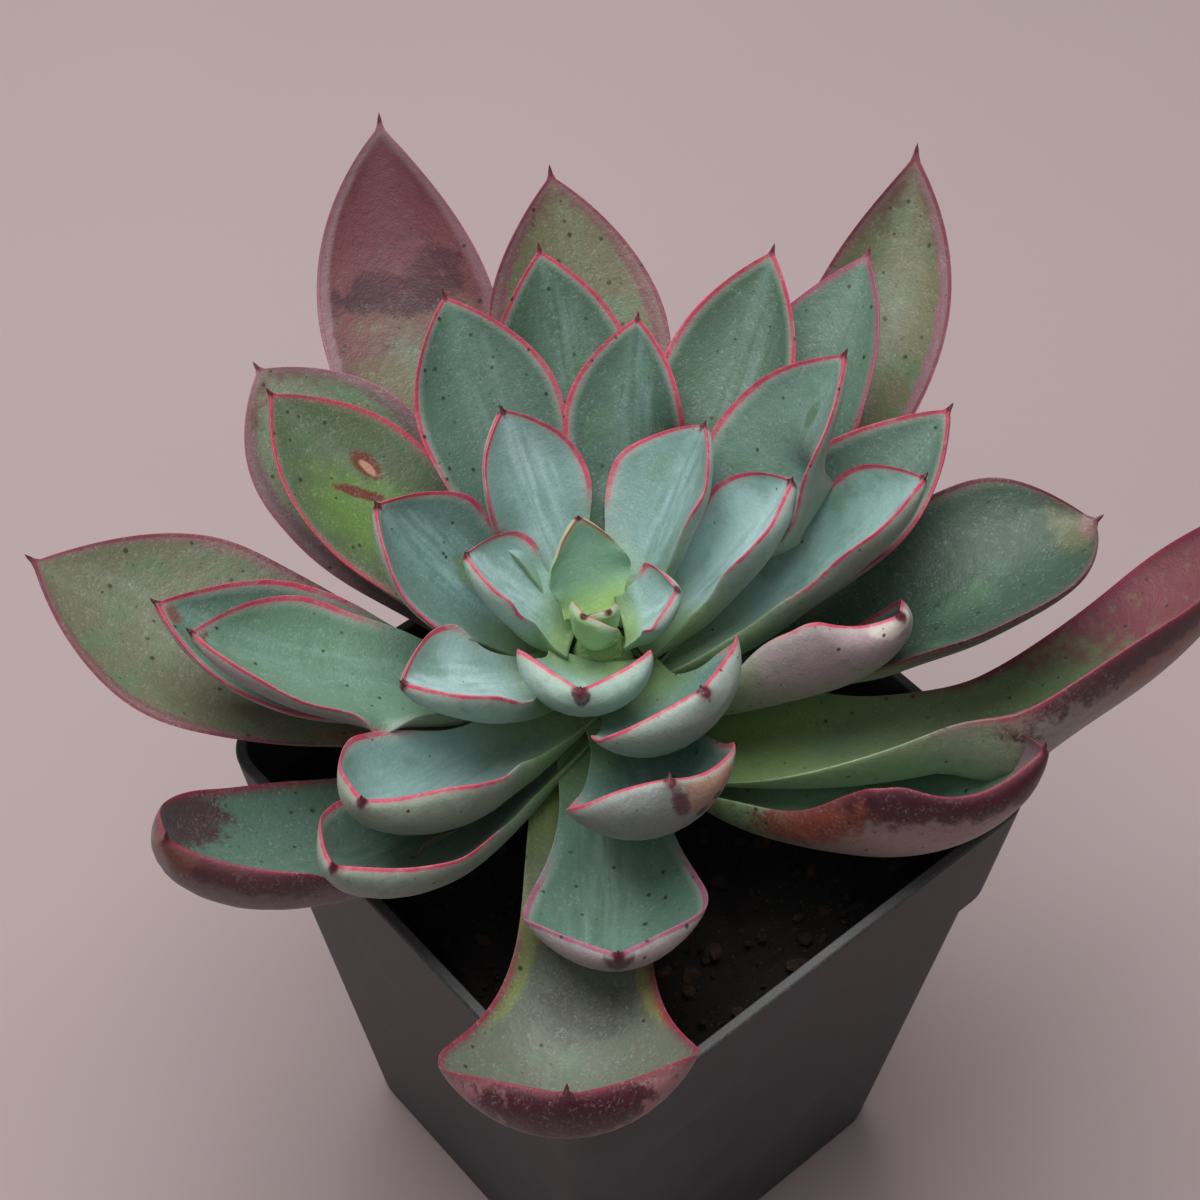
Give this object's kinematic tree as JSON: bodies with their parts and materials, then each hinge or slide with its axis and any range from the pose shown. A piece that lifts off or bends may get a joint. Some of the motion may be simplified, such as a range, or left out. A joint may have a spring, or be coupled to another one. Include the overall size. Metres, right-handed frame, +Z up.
{
  "type": "potted rosette succulent",
  "caption": "Rosette of thick spoon-shaped leaves with pointed tips and thin red margins, on a short stem in soil, in a square tapered plastic nursery pot.",
  "frame": {"origin": "centre of the pot's base, on the surface that it stands on", "axes": "+Z up; the pot's four sides face +X, -X, +Y and -Y"},
  "size_m": [0.1275, 0.1135, 0.1198],
  "materials": {
    "pot": "satin",
    "soil": "matte",
    "stem": "satin",
    "heart_leaf": "satin",
    "inner_leaf": "satin",
    "middle_leaf": "satin",
    "outer_leaf": "satin"
  },
  "bodies": {
    "root": {"pot": "pot", "soil": "soil", "stem_with_bud": "stem", "heart_leaf_1": "heart_leaf", "heart_leaf_2": "heart_leaf", "heart_leaf_3": "heart_leaf", "heart_leaf_4": "heart_leaf", "inner_leaf_1": "inner_leaf", "inner_leaf_2": "inner_leaf", "inner_leaf_3": "inner_leaf", "inner_leaf_4": "inner_leaf", "inner_leaf_5": "inner_leaf", "inner_leaf_6": "inner_leaf", "inner_leaf_7": "inner_leaf", "inner_leaf_8": "inner_leaf", "inner_leaf_9": "inner_leaf", "middle_leaf_1": "middle_leaf", "middle_leaf_2": "middle_leaf", "middle_leaf_3": "middle_leaf", "middle_leaf_4": "middle_leaf", "middle_leaf_5": "middle_leaf", "middle_leaf_6": "middle_leaf", "middle_leaf_7": "middle_leaf", "middle_leaf_8": "middle_leaf", "middle_leaf_9": "middle_leaf", "outer_leaf_1": "outer_leaf", "outer_leaf_2": "outer_leaf", "outer_leaf_3": "outer_leaf", "outer_leaf_4": "outer_leaf", "outer_leaf_5": "outer_leaf", "outer_leaf_6": "outer_leaf", "outer_leaf_7": "outer_leaf", "outer_leaf_8": "outer_leaf", "outer_leaf_9": "outer_leaf", "outer_leaf_10": "outer_leaf", "outer_leaf_11": "outer_leaf", "outer_leaf_12": "outer_leaf", "outer_leaf_13": "outer_leaf", "outer_leaf_14": "outer_leaf"}
  },
  "joints": []
}
